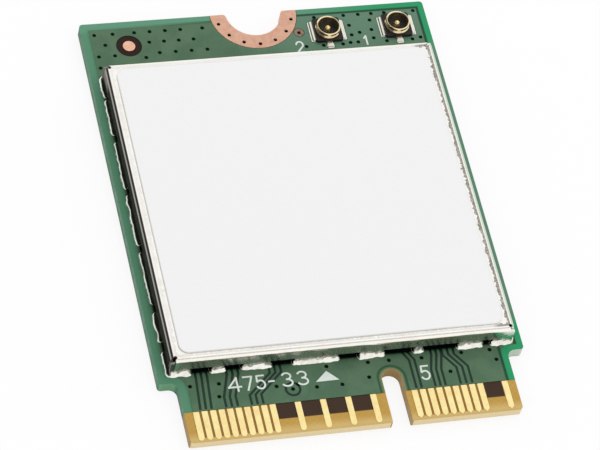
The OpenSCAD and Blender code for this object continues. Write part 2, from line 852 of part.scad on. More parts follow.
laminate_core();
lacquer_top();
lacquer_bottom();
fixing_pad();
contacts_top();
contacts_bottom();
alignment_mark();
test_ring();
shield_can();
can_label();
can_solder();
jack_seat(jack_x[1]);  // jack_1_seat
jack_shell(jack_x[1]);  // jack_1_shell
jack_pin(jack_x[1]);  // jack_1_pin
jack_seat(jack_x[0]);  // jack_2_seat
jack_shell(jack_x[0]);  // jack_2_shell
jack_pin(jack_x[0]);  // jack_2_pin
jack_solder();
radio_chip();
radio_chip_leads();
front_end_modules();
antenna_filters();
crystal_case();
crystal_cap();
memory_chip();
memory_chip_leads();
power_coil();
power_coil_ends();
capacitor_bodies();
capacitor_ends();
resistor_bodies();
resistor_ends();
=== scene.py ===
import math

import bmesh
import bpy
from mathutils import Matrix, Vector, noise


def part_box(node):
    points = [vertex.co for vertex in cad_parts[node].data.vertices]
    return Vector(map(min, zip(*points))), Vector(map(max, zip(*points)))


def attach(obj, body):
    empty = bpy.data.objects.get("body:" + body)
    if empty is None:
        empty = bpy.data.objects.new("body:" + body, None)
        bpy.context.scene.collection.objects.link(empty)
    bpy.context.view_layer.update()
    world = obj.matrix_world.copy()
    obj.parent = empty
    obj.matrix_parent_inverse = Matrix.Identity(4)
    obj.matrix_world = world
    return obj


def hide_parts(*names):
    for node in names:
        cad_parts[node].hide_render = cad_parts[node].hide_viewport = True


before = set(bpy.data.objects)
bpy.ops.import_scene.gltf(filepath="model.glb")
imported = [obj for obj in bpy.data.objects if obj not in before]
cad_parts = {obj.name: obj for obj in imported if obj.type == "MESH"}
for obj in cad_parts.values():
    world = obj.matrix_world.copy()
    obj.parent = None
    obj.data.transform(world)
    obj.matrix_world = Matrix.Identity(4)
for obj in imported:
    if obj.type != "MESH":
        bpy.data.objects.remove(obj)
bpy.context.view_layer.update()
print("stage: frame loaded with", len(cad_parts), "nodes")

mm = 0.001
boardLow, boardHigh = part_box("laminate_core")
lacquerLow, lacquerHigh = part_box("lacquer_top")
boardTop = lacquerHigh.z / mm
tongueLength = 4.0
keyLength = 2.9    # from the contact end to the middle of the slot's round end

# the card's outline in mm, as the CAD has it
card = {
    "halfWidth": boardHigh.x / mm,
    "endY": boardHigh.y / mm,
    "contactY": boardLow.y / mm,
    "shoulderY": boardLow.y / mm + tongueLength,
    "halfTongue": 9.925,
    "notchRadius": 1.75,
    "keyX": 2.625,
    "keyRadius": 0.6,
    "keyEndY": boardLow.y / mm + keyLength,
    "band": 0.5,       # low lacquer along the outline
    "keyBand": 0.2,    # low lacquer round the key slot
    "maskY": lacquerLow.y / mm,
    "foldRadius": 0.27,
}


def tone(red, green, blue):
    # screen values from 0 to 255, as the linear colour that Blender wants
    def linear(value):
        share = value / 255
        return share / 12.92 if share <= 0.04045 else ((share + 0.055) / 1.055) ** 2.4
    return (linear(red), linear(green), linear(blue), 1.0)


# small helpers for node trees

def plug(tree, value, socket):
    if isinstance(value, bpy.types.NodeSocket):
        tree.links.new(value, socket)
    else:
        socket.default_value = value


def maths(tree, operation, *values):
    node = tree.nodes.new("ShaderNodeMath")
    node.operation = operation
    for place, value in enumerate(values):
        plug(tree, value, node.inputs[place])
    return node.outputs[0]


def times(tree, product, *others):
    for other in others:
        product = maths(tree, "MULTIPLY", product, other)
    return product


def lengthOf(tree, first, second):
    # length of two sides at a right angle
    squares = maths(tree, "ADD", times(tree, first, first), times(tree, second, second))
    return maths(tree, "SQRT", squares)


def ramp(tree, value, start, end, low=0.0, high=1.0):
    # smooth step from low to high while the value goes from start to end
    node = tree.nodes.new("ShaderNodeMapRange")
    node.interpolation_type = "SMOOTHSTEP"
    plug(tree, value, node.inputs["Value"])
    plug(tree, start, node.inputs["From Min"])
    plug(tree, end, node.inputs["From Max"])
    plug(tree, low, node.inputs["To Min"])
    plug(tree, high, node.inputs["To Max"])
    return node.outputs["Result"]


def fall(tree, value, start, end):
    return ramp(tree, value, start, end, 1.0, 0.0)


def mixColour(tree, factor, first, second):
    node = tree.nodes.new("ShaderNodeMix")
    node.data_type = "RGBA"
    plug(tree, factor, node.inputs[0])
    plug(tree, first, node.inputs[6])
    plug(tree, second, node.inputs[7])
    return node.outputs[2]


def newGroup(name, inputs, outputs):
    tree = bpy.data.node_groups.new(name, "ShaderNodeTree")
    for label, kind, value in inputs:
        socket = tree.interface.new_socket(name=label, in_out="INPUT", socket_type=kind)
        socket.default_value = value
    for label, kind in outputs:
        tree.interface.new_socket(name=label, in_out="OUTPUT", socket_type=kind)
    start = tree.nodes.new("NodeGroupInput").outputs
    end = tree.nodes.new("NodeGroupOutput").inputs
    return tree, start, end


def useGroup(tree, group, **values):
    node = tree.nodes.new("ShaderNodeGroup")
    node.node_tree = group
    for label, value in values.items():
        plug(tree, value, node.inputs[label])
    return node.outputs


def millimetres(tree):
    # place in the card's own frame, in mm
    scale = tree.nodes.new("ShaderNodeVectorMath")
    scale.operation = "SCALE"
    plug(tree, tree.nodes.new("ShaderNodeTexCoord").outputs["Object"], scale.inputs[0])
    plug(tree, 1 / mm, scale.inputs["Scale"])
    return scale.outputs[0]


def splitVector(tree, vector):
    node = tree.nodes.new("ShaderNodeSeparateXYZ")
    plug(tree, vector, node.inputs[0])
    return node.outputs[0], node.outputs[1], node.outputs[2]


def facingOf(tree):
    # the way that a face points in the card's own frame
    return splitVector(tree, tree.nodes.new("ShaderNodeNewGeometry").outputs["True Normal"])


# shader groups that several materials use

number = "NodeSocketFloat"


def makeCardPlan():
    # place on the card, and the distances to the board's outline and to the key slot, in mm
    tree, start, end = newGroup(
        "cardPlan", [],
        [("X", number), ("Y", number), ("Z", number),
         ("Edge Distance", number), ("Key Distance", number)],
    )
    x, y, z = splitVector(tree, millimetres(tree))
    side = maths(tree, "ABSOLUTE", x)
    fromEnd = maths(tree, "SUBTRACT", card["endY"], y)
    body = maths(tree, "MINIMUM", maths(tree, "SUBTRACT", card["halfWidth"], side),
                 maths(tree, "SUBTRACT", y, card["shoulderY"]))
    tongue = maths(tree, "MINIMUM", maths(tree, "SUBTRACT", card["halfTongue"], side),
                   maths(tree, "SUBTRACT", y, card["contactY"]))
    outline = maths(tree, "MINIMUM", maths(tree, "MAXIMUM", body, tongue), fromEnd)
    notch = maths(tree, "SUBTRACT", lengthOf(tree, x, fromEnd), card["notchRadius"])
    acrossKey = maths(tree, "SUBTRACT", x, card["keyX"])
    alongKey = maths(tree, "MAXIMUM", maths(tree, "SUBTRACT", y, card["keyEndY"]), 0.0)
    key = maths(tree, "SUBTRACT", lengthOf(tree, acrossKey, alongKey), card["keyRadius"])
    edge = maths(tree, "MINIMUM", outline, notch)
    for socket, value in zip(end, (x, y, z, edge, key)):
        plug(tree, value, socket)
    return tree


spotRange = (0.55, 0.68)    # grain values at which a spot starts and is full


def makeGrain():
    # fine mottling at a scale given in spots per mm
    tree, start, end = newGroup(
        "grain",
        [("Scale", number, 3.0), ("Detail", number, 3.0), ("Stretch X", number, 1.0)],
        [("Grain", number), ("Spots", number)],
    )
    stretch = tree.nodes.new("ShaderNodeCombineXYZ")
    for socket, value in zip(stretch.inputs, (start["Stretch X"], 1.0, 1.0)):
        plug(tree, value, socket)
    place = tree.nodes.new("ShaderNodeVectorMath")
    place.operation = "MULTIPLY"
    plug(tree, millimetres(tree), place.inputs[0])
    plug(tree, stretch.outputs[0], place.inputs[1])
    cloud = tree.nodes.new("ShaderNodeTexNoise")
    plug(tree, place.outputs[0], cloud.inputs["Vector"])
    plug(tree, start["Scale"], cloud.inputs["Scale"])
    plug(tree, start["Detail"], cloud.inputs["Detail"])
    plug(tree, cloud.outputs["Fac"], end["Grain"])
    plug(tree, ramp(tree, cloud.outputs["Fac"], *spotRange), end["Spots"])
    return tree


def makeWeave():
    # threads of glass cloth that cross each other under the resin
    tree, start, end = newGroup("weave", [("Threads", number, 4.0)], [("Threads", number)])
    x, y = splitVector(tree, millimetres(tree))[:2]
    turns = times(tree, start["Threads"], 2 * math.pi)
    waveX = maths(tree, "SINE", times(tree, x, turns))
    waveY = maths(tree, "SINE", times(tree, y, turns))
    plug(tree, maths(tree, "MULTIPLY_ADD", times(tree, waveX, waveY), 0.5, 0.5), end["Threads"])
    return tree


def makeFrameDepth():
    # how far a place lies inside a rounded rectangle in plan, in mm
    tree, start, end = newGroup(
        "frameDepth",
        [("Centre Y", number, 0.0), ("Half Width", number, 1.0), ("Half Length", number, 1.0),
         ("Radius", number, 0.5)],
        [("Depth", number)],
    )
    x, y = splitVector(tree, millimetres(tree))[:2]
    fromCentre = maths(tree, "ABSOLUTE", maths(tree, "SUBTRACT", y, start["Centre Y"]))
    across = maths(tree, "SUBTRACT", maths(tree, "ABSOLUTE", x),
                   maths(tree, "SUBTRACT", start["Half Width"], start["Radius"]))
    along = maths(tree, "SUBTRACT", fromCentre,
                  maths(tree, "SUBTRACT", start["Half Length"], start["Radius"]))
    corner = lengthOf(tree, maths(tree, "MAXIMUM", across, 0.0), maths(tree, "MAXIMUM", along, 0.0))
    inner = maths(tree, "MINIMUM", maths(tree, "MAXIMUM", across, along), 0.0)
    outside = maths(tree, "SUBTRACT", maths(tree, "ADD", corner, inner), start["Radius"])
    plug(tree, times(tree, outside, -1.0), end["Depth"])
    return tree


def makeStrip():
    # 1 between two values, with soft ends
    tree, start, end = newGroup(
        "strip",
        [("Value", number, 0.0), ("From", number, 0.0), ("To", number, 1.0), ("Soft", number, 0.02)],
        [("Mask", number)],
    )

    def around(step, limit):
        # the step is centred on one of the two limits
        return step(tree, start["Value"], maths(tree, "SUBTRACT", start[limit], start["Soft"]),
                    maths(tree, "ADD", start[limit], start["Soft"]))

    plug(tree, times(tree, around(ramp, "From"), around(fall, "To")), end["Mask"])
    return tree


cardPlan = makeCardPlan()
grain = makeGrain()
weave = makeWeave()
frameDepth = makeFrameDepth()
strip = makeStrip()
print("stage: shader groups made")


# helpers for materials

def newMaterial(name):
    material = bpy.data.materials.new(name)
    material.use_nodes = True
    tree = material.node_tree
    return material, tree, tree.nodes["Principled BSDF"].inputs


def grainAt(tree, scale, detail, stretchX=1.0):
    return useGroup(tree, grain, **{"Scale": scale, "Detail": detail, "Stretch X": stretchX})["Grain"]


def between(tree, value, low, high, soft):
    return useGroup(tree, strip, Value=value, From=low, To=high, Soft=soft)["Mask"]


def depthInside(tree, nodeName, rim, radius):
    # depth inside a node's outline in plan, after that outline is moved inward by rim
    low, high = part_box(nodeName)
    return useGroup(tree, frameDepth, **{
        "Centre Y": (low.y + high.y) / 2 / mm,
        "Half Width": (high.x - low.x) / 2 / mm - rim,
        "Half Length": (high.y - low.y) / 2 / mm - rim,
        "Radius": radius,
    })["Depth"]


def lineAt(tree, distance, centre, offsets):
    # a soft line along a contour, which rises over the first two offsets and fades over the last two
    riseFrom, riseTo, fadeFrom, fadeTo = (centre + offset for offset in offsets)
    return times(tree, ramp(tree, distance, riseFrom, riseTo), fall(tree, distance, fadeFrom, fadeTo))


def bumpFrom(tree, height, strength, depth):
    # depth in mm
    node = tree.nodes.new("ShaderNodeBump")
    plug(tree, strength, node.inputs["Strength"])
    plug(tree, depth * mm, node.inputs["Distance"])
    plug(tree, height, node.inputs["Height"])
    return node.outputs["Normal"]


grainRange = (0.2, 0.8)    # nearly all of the grain's values lie in here


def setSurface(tree, shader, look, colour, texture, height):
    # the texture sets how rough each spot is, and the height makes the bumps
    plug(tree, colour, shader["Base Color"])
    plug(tree, ramp(tree, texture, *grainRange, *look["roughness"]), shader["Roughness"])
    plug(tree, bumpFrom(tree, height, *look["bump"]), shader["Normal"])
    plug(tree, look["shine"], shader["Specular IOR Level"])


# In the dictionaries below, a mask has the two values between which it changes, and then its own two
# ends where they aren't 0 and 1. A grain has its scale and detail, and a bump its strength and depth in mm.

lacquerLook = {
    "copper": tone(84, 115, 87),
    "copperDark": tone(74, 106, 79),
    # painted sheen, paler towards the rear right
    "copperSheen": tone(94, 129, 106),
    "bandNear": tone(82, 136, 106),
    "bandFar": tone(30, 150, 97),
    "bandSide": tone(90, 134, 108),
    "bandRear": tone(92, 147, 118),
    "gap": tone(20, 50, 36),
    "line": tone(10, 66, 40),
    "keyRim": tone(146, 134, 88),
    "keyGreen": tone(62, 108, 72),
    # painted shade under the can
    "shadeUnderCan": tone(4, 10, 7),
    "roughness": (0.25, 0.35),
    "shine": 0.25,
    "bump": (0.2, 0.02),
    "mottleGrain": (0.9, 3.0),
    "fineGrain": (14.0, 2.0),
    "mottle": (0.35, 0.65),
    "sheenX": (-3.0, 4.0),
    "sheenY": (9.0, 13.5),
    "besideCan": (-8.9, 11.7),
    "besideCanSoft": 0.6,
    "rearX": (2.0, 8.5),
    "rearReach": 0.3,
    "bandSoft": 0.03,
    "edgeLine": (-0.18, -0.09, 0.0, 0.09),
    "edgeLineX": (-9.0, 2.0, 0.12, 0.95),
    "keyLine": (-0.05, 0.02, 0.04, 0.16),
    "keyLineStrength": 0.75,
    "keyRimFade": (0.02, 0.16, 0.8, 0.0),
    "canShade": (-0.16, 0.03),
    "canCorner": 0.1,
    "canSideReach": 0.06,
}


def makeLacquer(name, look, topZ, sinkZ, covered):
    material, tree, shader = newMaterial(name)
    plan = useGroup(tree, cardPlan)
    edge, key = plan["Edge Distance"], plan["Key Distance"]
    mottle = grainAt(tree, *look["mottleGrain"])
    fine = grainAt(tree, *look["fineGrain"])
    # the copper under the lacquer, with a painted sheen that makes it paler towards the rear right
    copper = mixColour(tree, ramp(tree, mottle, *look["mottle"]), look["copperDark"], look["copper"])
    far = times(tree, ramp(tree, plan["X"], *look["sheenX"]), ramp(tree, plan["Y"], *look["sheenY"]))
    copper = mixColour(tree, far, copper, look["copperSheen"])
    # the band along the edge
    besideCan = between(tree, plan["Y"], *look["besideCan"], look["besideCanSoft"])
    bandFar = mixColour(tree, besideCan, look["bandFar"], look["bandSide"])
    rightward = ramp(tree, plan["X"], -card["halfWidth"], card["halfWidth"])
    band = mixColour(tree, rightward, look["bandNear"], bandFar)
    rearY = card["endY"] - card["band"]
    atRear = times(tree, fall(tree, plan["X"], *look["rearX"]),
                   ramp(tree, plan["Y"], rearY - look["rearReach"], rearY))
    band = mixColour(tree, atRear, band, look["bandRear"])
    # the lacquer lies lower where there is no copper: along the edge and in the etched gaps
    low = fall(tree, plan["Z"], sinkZ, topZ)
    inBand = fall(tree, edge, card["band"], card["band"] + look["bandSoft"])
    nearKey = fall(tree, key, card["keyBand"], card["keyBand"] + look["bandSoft"])
    bare = mixColour(tree, inBand, look["gap"], band)
    bare = mixColour(tree, nearKey, bare, look["keyGreen"])
    colour = mixColour(tree, low, copper, bare)
    # dark lines along the step down, and a pale rim at the slot
    edgeLine = times(tree, lineAt(tree, edge, card["band"], look["edgeLine"]),
                     ramp(tree, plan["X"], *look["edgeLineX"]))
    keyLine = times(tree, lineAt(tree, key, card["keyBand"], look["keyLine"]), look["keyLineStrength"])
    colour = mixColour(tree, edgeLine, colour, look["line"])
    colour = mixColour(tree, keyLine, colour, look["line"])
    colour = mixColour(tree, ramp(tree, key, *look["keyRimFade"]), colour, look["keyRim"])
    if covered:
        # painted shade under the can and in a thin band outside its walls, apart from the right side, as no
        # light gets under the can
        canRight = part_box("shield_can")[1].x / mm
        shade = ramp(tree, depthInside(tree, "shield_can", 0.0, look["canCorner"]), *look["canShade"])
        shade = times(tree, shade, fall(tree, plan["X"], canRight - look["canSideReach"], canRight))
        colour = mixColour(tree, shade, colour, look["shadeUnderCan"])
    setSurface(tree, shader, look, colour, fine, mottle)
    return material


laminateLook = {
    "resin": tone(188, 149, 72),
    "thread": tone(203, 166, 86),
    "between": tone(150, 112, 54),
    "window": tone(64, 46, 34),
    "tip": tone(216, 188, 126),
    "floor": tone(42, 24, 16),
    "end": tone(232, 212, 168),
    "edge": tone(160, 132, 78),
    "edgeGreen": tone(66, 122, 90),
    "edgeLow": tone(66, 100, 78),
    # painted highlights on the forward faces at the shoulders
    "shoulder": tone(204, 216, 200),
    "leftShoulderHighlight": tone(108, 160, 122),
    "keyWall": tone(170, 142, 92),
    "roughness": (0.35, 0.55),
    "shine": 0.15,
    "bump": (0.1, 0.006),
    "mottleGrain": (1.6, 4.0),
    # stretches across the tongue with contacts side by side, and those with dark inner copper
    "filled": [(-9.44, -4.56), (3.56, 7.94)],
    "windows": [(-4.56, 1.2), (7.94, 9.06)],
    "windowFrom": -14.05,
    "filledFrom": -14.78,
    "softAlong": 0.04,
    "softAcross": 0.03,
    "threadsPerMm": 2.6,
    "threadStrength": (0.3, 0.7, 0.1, 0.6),
    "tipReach": (0.1, 0.7),
    "tipStrength": 0.7,
    "middleSoft": 0.01,
    "flat": (0.5, 0.6),
    "forward": (-0.8, -0.5),
    "floorY": (0.0, 1.0),    # behind this, bare laminate is only seen in the mark's opening
    "maskSoft": 0.1,
    "edgeZ": (0.1, 0.35),
    "keyWallReach": (0.05, 0.1),
    "shoulderX": (-1.0, 1.0),
}


def makeLaminate(name, look):
    material, tree, shader = newMaterial(name)
    plan = useGroup(tree, cardPlan)
    threads = useGroup(tree, weave, Threads=look["threadsPerMm"])["Threads"]
    mottle = grainAt(tree, *look["mottleGrain"])
    facing = facingOf(tree)
    flat = ramp(tree, maths(tree, "ABSOLUTE", facing[2]), *look["flat"])
    above = ramp(tree, plan["Z"], boardTop / 2 - look["middleSoft"], boardTop / 2 + look["middleSoft"])
    # upper and lower faces
    colour = mixColour(tree, times(tree, threads, ramp(tree, mottle, *look["threadStrength"])),
                       look["resin"], look["thread"])
    tipFrom, tipTo = (card["contactY"] + reach for reach in look["tipReach"])
    colour = mixColour(tree, ramp(tree, plan["Y"], tipFrom, tipTo, look["tipStrength"], 0.0),
                       colour, look["tip"])
    for stretches, fromY, tint in ((look["filled"], look["filledFrom"], look["between"]),
                                   (look["windows"], look["windowFrom"], look["window"])):
        along = between(tree, plan["Y"], fromY, card["shoulderY"], look["softAlong"])
        for lowX, highX in stretches:
            across = between(tree, plan["X"], lowX, highX, look["softAcross"])
            colour = mixColour(tree, times(tree, along, across, above), colour, tint)
    inMark = times(tree, above, ramp(tree, plan["Y"], *look["floorY"]))
    colour = mixColour(tree, inMark, colour, look["floor"])
    # side faces: green over the body, resin over the tongue and in the key slot, with painted highlights on
    # the forward faces of the body's shoulders, paler at the right
    forward = fall(tree, facing[1], *look["forward"])
    green = mixColour(tree, ramp(tree, plan["Z"], *look["edgeZ"]), look["edgeLow"], look["edgeGreen"])
    shoulder = mixColour(tree, ramp(tree, plan["X"], *look["shoulderX"]),
                         look["leftShoulderHighlight"], look["shoulder"])
    green = mixColour(tree, forward, green, shoulder)
    tongue = mixColour(tree, forward, look["edge"], look["end"])
    body = ramp(tree, plan["Y"], card["maskY"] - look["maskSoft"], card["maskY"] + look["maskSoft"])
    side = mixColour(tree, body, tongue, green)
    nearKey = fall(tree, plan["Key Distance"], *look["keyWallReach"])
    side = mixColour(tree, nearKey, side, look["keyWall"])
    setSurface(tree, shader, look, mixColour(tree, flat, side, colour), mottle, threads)
    return material


metalLooks = {
    "bareCopper": {"colour": tone(221, 173, 148), "shade": tone(212, 161, 135),
                   "roughness": 0.45, "metallic": 0.4, "scale": 3.0, "bump": 0.004},
    "markCopper": {"colour": tone(243, 190, 160), "shade": tone(234, 178, 148),
                   "roughness": 0.45, "metallic": 0.4, "scale": 3.0, "bump": 0.004},
    "testCopper": {"colour": tone(150, 124, 104), "shade": tone(128, 104, 86),
                   "roughness": 0.5, "metallic": 0.4, "scale": 6.0, "bump": 0.004},
    "contactGold": {"colour": tone(254, 236, 168), "shade": tone(252, 227, 157),
                    "roughness": 0.45, "metallic": 0.4, "scale": 2.0, "bump": 0.0015},
    "brightSolder": {"colour": tone(244, 243, 236), "shade": tone(226, 225, 214),
                     "roughness": 0.16, "metallic": 1.0, "scale": 2.5, "bump": 0.006},
    "beadSolder": {"colour": tone(246, 245, 238), "shade": tone(232, 230, 220),
                   "roughness": 0.16, "metallic": 1.0, "scale": 2.5, "bump": 0.006,
                   "leftShade": tone(24, 28, 22), "lip": tone(240, 246, 234), "lipTo": boardTop + 0.05},
    "jackTin": {"colour": tone(244, 243, 234), "shade": tone(226, 225, 212),
                "roughness": 0.16, "metallic": 1.0, "scale": 2.5, "bump": 0.006,
                "leftShade": tone(104, 122, 104)},
    "innerTin": {"colour": tone(205, 205, 198), "shade": tone(170, 170, 164),
                 "roughness": 0.3, "metallic": 1.0, "scale": 5.0, "bump": 0.02},
    # the jacks are gold, and tinned by solder up to this height
    "shellGold": {"colour": tone(253, 237, 198), "shade": tone(242, 218, 164),
                  "roughness": 0.2, "metallic": 1.0, "scale": 5.0, "bump": 0.003,
                  "tinnedTo": boardTop + 0.105},
    "pinGold": {"colour": tone(254, 236, 180), "shade": tone(246, 218, 150),
                "roughness": 0.28, "metallic": 0.8, "scale": 5.0, "bump": 0.003,
                "tinnedTo": boardTop + 0.08},
}
# what all the metals share
metalWear = {
    "mottleDetail": 3.0,
    "wornDetail": 2.0,
    "mottle": (0.35, 0.7),
    "wornShare": 4,    # how much finer the worn spots are than the mottling
    "wear": (0.3, 1.2),
    "roughnessShares": (0.8, 1.4),
    "bumpStrength": 0.6,
    "tin": tone(232, 232, 222),
    "tinSoft": 0.01,
    "leftward": (-0.6, -0.35),
    "leftMetallic": -0.85,
    "lipReach": (-0.02, 0.01),
}


def makeMetal(name, look):
    material, tree, shader = newMaterial(name)
    mottle = grainAt(tree, look["scale"], look["mottleDetail"])
    wornScale = look["scale"] * look["wornShare"]
    worn = useGroup(tree, grain, Scale=wornScale, Detail=look["wornDetail"])["Spots"]
    colour = mixColour(tree, ramp(tree, mottle, *look["mottle"]), look["colour"], look["shade"])
    if "tinnedTo" in look:
        height = useGroup(tree, cardPlan)["Z"]
        tinned = fall(tree, height, look["tinnedTo"] - look["tinSoft"], look["tinnedTo"] + look["tinSoft"])
        colour = mixColour(tree, tinned, colour, look["tin"])
    plug(tree, look["metallic"], shader["Metallic"])
    if "leftShade" in look:
        # slopes that face left get painted shade, dark and less metallic, apart from the lower lip of a
        # bead, which is pale
        leftward = fall(tree, facingOf(tree)[0], *look["leftward"])
        leftShadeTone = look["leftShade"]
        if "lip" in look:
            height = useGroup(tree, cardPlan)["Z"]
            lipFrom, lipTo = (look["lipTo"] + reach for reach in look["lipReach"])
            leftShadeTone = mixColour(tree, fall(tree, height, lipFrom, lipTo), look["leftShade"], look["lip"])
        colour = mixColour(tree, leftward, colour, leftShadeTone)
        plug(tree, maths(tree, "MULTIPLY_ADD", leftward, look["leftMetallic"], look["metallic"]),
             shader["Metallic"])
        plug(tree, 0.0, shader["Specular IOR Level"])
    plug(tree, colour, shader["Base Color"])
    smooth, rough = (look["roughness"] * share for share in look["roughnessShares"])
    plug(tree, ramp(tree, maths(tree, "ADD", mottle, worn), *look["wear"], smooth, rough),
         shader["Roughness"])
    plug(tree, bumpFrom(tree, mottle, look["bumpStrength"], look["bump"]), shader["Normal"])
    return material


canLook = {
    "tin": tone(250, 248, 242),
    "shade": tone(244, 241, 234),
    # the crease and the bend below are grey painted shade along the folds
    "crease": tone(138, 132, 124),
    "bend": tone(206, 199, 193),
    # the left fold is painted shade and the right fold a painted green reflection of the board
    "leftFoldShade": tone(158, 155, 150),
    "rightFoldReflection": tone(202, 216, 200),
    "wall": tone(242, 230, 228),
    # the left walls are painted shade, lighter at the rear
    "leftWallShade": tone(44, 46, 39),
    "rearWallShade": tone(138, 132, 123),
    # painted shade on the fold tips at the corners, dark grey at the left and faint at the right
    "corner": tone(132, 128, 122),
    "rightCorner": tone(232, 236, 228),
    "roughness": (0.06, 0.15),
    "wallRoughness": 0.14,    # added on the walls
    "bump": (0.4, 0.006),
    "rolledGrain": (2.0, 2.0, 0.4),    # scale, detail and stretch
    "speckGrain": (13.0, 3.0),
    "waveGrain": (1.6, 3.0),
    "raggedGrain": (4.0, 3.0),
    "rolled": (0.4, 0.75),
    "folded": (0.9, 0.98),
    "leftward": (-0.5, -0.2),
    "leftMetallic": -0.85,
    "rightward": (0.1, 0.3),
    "upright": (0.1, 0.3),
    "rearReach": (-1.9, -1.0),
    "rearHeight": (-0.95, -0.6),
    "cornerSoft": 0.02,
    "cornerX": (-1.0, 1.0),
    "creaseRim": 0.01,
    "creaseCorner": 0.05,
    "creaseReach": (0.5, -0.07),    # share of the ragged grain, and what is added to it
    "creaseSoft": 0.02,
    "creaseX": (8.9, 9.5),
    "creaseFaint": (-9.0, -7.0, 0.19, 0.12),
    "broken": (0.34, 0.56, 0.55, 1.0),
    "bendHeight": (-0.05, -0.016),
    "bendSoft": 0.01,
    "bendForward": (-0.25, -0.1),
    # heights against a depth of 1 for the crease
    "rolledHeight": 0.5,
    "waveHeight": 6.0,
}


def makeCanSheet(name, look):
    material, tree, shader = newMaterial(name)
    low, top = (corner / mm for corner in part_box("shield_can"))
    plan = useGroup(tree, cardPlan)
    rolled = grainAt(tree, *look["rolledGrain"])
    specks = grainAt(tree, *look["speckGrain"])
    waves = grainAt(tree, *look["waveGrain"])
    ragged = grainAt(tree, *look["raggedGrain"])
    facing = facingOf(tree)
    colour = mixColour(tree, ramp(tree, rolled, *look["rolled"]), look["tin"], look["shade"])
    # the left folds get painted shade and the right folds a painted green reflection of the board; the
    # walls are rougher, and the left walls get painted shade, lighter at the rear
    folded = fall(tree, facing[2], *look["folded"])
    leftward = fall(tree, facing[0], *look["leftward"])
    rightward = ramp(tree, facing[0], *look["rightward"])
    upright = fall(tree, maths(tree, "ABSOLUTE", facing[2]), *look["upright"])
    colour = mixColour(tree, times(tree, folded, leftward), colour, look["leftFoldShade"])
    colour = mixColour(tree, times(tree, folded, rightward), colour, look["rightFoldReflection"])
    atRear = times(tree, ramp(tree, plan["Y"], *(top.y + reach for reach in look["rearReach"])),
                   ramp(tree, plan["Z"], *(top.z + reach for reach in look["rearHeight"])))
    leftWallShade = mixColour(tree, atRear, look["leftWallShade"], look["rearWallShade"])
    colour = mixColour(tree, upright, colour, mixColour(tree, leftward, look["wall"], leftWallShade))

    # the folds end in a tip at each corner, past the relief hole, with painted shade that is dark grey at
    # the left and faint at the right
    def pastFold(distance, half):
        edge = half - card["foldRadius"]
        return ramp(tree, distance, edge - look["cornerSoft"], edge)

    along = maths(tree, "ABSOLUTE", maths(tree, "SUBTRACT", plan["Y"], (low.y + top.y) / 2))
    atCorner = times(tree, pastFold(maths(tree, "ABSOLUTE", plan["X"]), top.x),
                     pastFold(along, (top.y - low.y) / 2))
    corner = mixColour(tree, ramp(tree, plan["X"], *look["cornerX"]), look["corner"], look["rightCorner"])
    colour = mixColour(tree, atCorner, colour, corner)
    # a ragged crease just inside the flat's rim, which the bump also sinks, and a fainter line on the front
    # fold are darkened with painted shade
    broken = ramp(tree, specks, *look["broken"])
    fromRim = depthInside(tree, "shield_can", card["foldRadius"] - look["creaseRim"], look["creaseCorner"])
    reach = maths(tree, "MULTIPLY_ADD", ragged, *look["creaseReach"])
    crease = times(tree, between(tree, fromRim, 0.0, reach, look["creaseSoft"]), broken)
    faint = ramp(tree, plan["Y"], *look["creaseFaint"])
    bendLow, bendHigh = (top.z + reach for reach in look["bendHeight"])
    bend = times(tree, between(tree, plan["Z"], bendLow, bendHigh, look["bendSoft"]),
                 fall(tree, facing[1], *look["bendForward"]), broken)
    colour = mixColour(tree, bend, colour, look["bend"])
    creaseStrength = times(tree, crease, ramp(tree, plan["X"], *look["creaseX"], faint, 1.0))
    colour = mixColour(tree, creaseStrength, colour, look["crease"])
    plug(tree, colour, shader["Base Color"])
    flatRoughness = ramp(tree, specks, *grainRange, *look["roughness"])
    plug(tree, maths(tree, "MULTIPLY_ADD", upright, look["wallRoughness"], flatRoughness),
         shader["Roughness"])
    height = maths(tree, "ADD", times(tree, rolled, look["rolledHeight"]), times(tree, crease, -1.0))
    height = maths(tree, "ADD", height, times(tree, upright, waves, look["waveHeight"]))
    plug(tree, bumpFrom(tree, height, *look["bump"]), shader["Normal"])
    # the left walls are less metallic, as part of their painted shade
    plug(tree, maths(tree, "MULTIPLY_ADD", times(tree, upright, leftward), look["leftMetallic"], 1.0),
         shader["Metallic"])
    plug(tree, 0.0, shader["Specular IOR Level"])
    return material


labelLook = {
    "film": tone(242, 242, 242),
    "fibre": tone(240, 240, 241),
    # grey painted shade along the label's edge
    "rim": tone(214, 212, 208),
    "roughness": (0.47, 0.63),
    "shine": 0.3,
    "bump": (0.1, 0.003),
    "fibreGrain": (9.0, 4.0),
    "lineWidth": 0.07,
    "lineCore": 0.6,
    "radius": 0.6,
    # the line of painted shade along the edge is fainter at the right, the rear and the front
    "fadeX": (6.0, 9.2, 1.0, 0.3),
    "fadeY": (8.0, 10.4, 1.0, 0.4),
    "frontReach": (0.1, 0.4),
    "frontStrength": 0.75,
}


def makeLabel(name, look):
    material, tree, shader = newMaterial(name)
    plan = useGroup(tree, cardPlan)
    fibres = grainAt(tree, *look["fibreGrain"])
    depth = depthInside(tree, "can_label", 0.0, look["radius"])
    frontFrom, frontTo = (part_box("can_label")[0].y / mm + reach for reach in look["frontReach"])
    # painted shade along the label's edge
    rim = times(tree, fall(tree, depth, look["lineWidth"] * look["lineCore"], look["lineWidth"]),
                ramp(tree, plan["X"], *look["fadeX"]), ramp(tree, plan["Y"], *look["fadeY"]),
                ramp(tree, plan["Y"], frontFrom, frontTo, look["frontStrength"], 1.0))
    film = mixColour(tree, ramp(tree, fibres, *grainRange), look["film"], look["fibre"])
    setSurface(tree, shader, look, mixColour(tree, rim, film, look["rim"]), fibres, fibres)
    return material


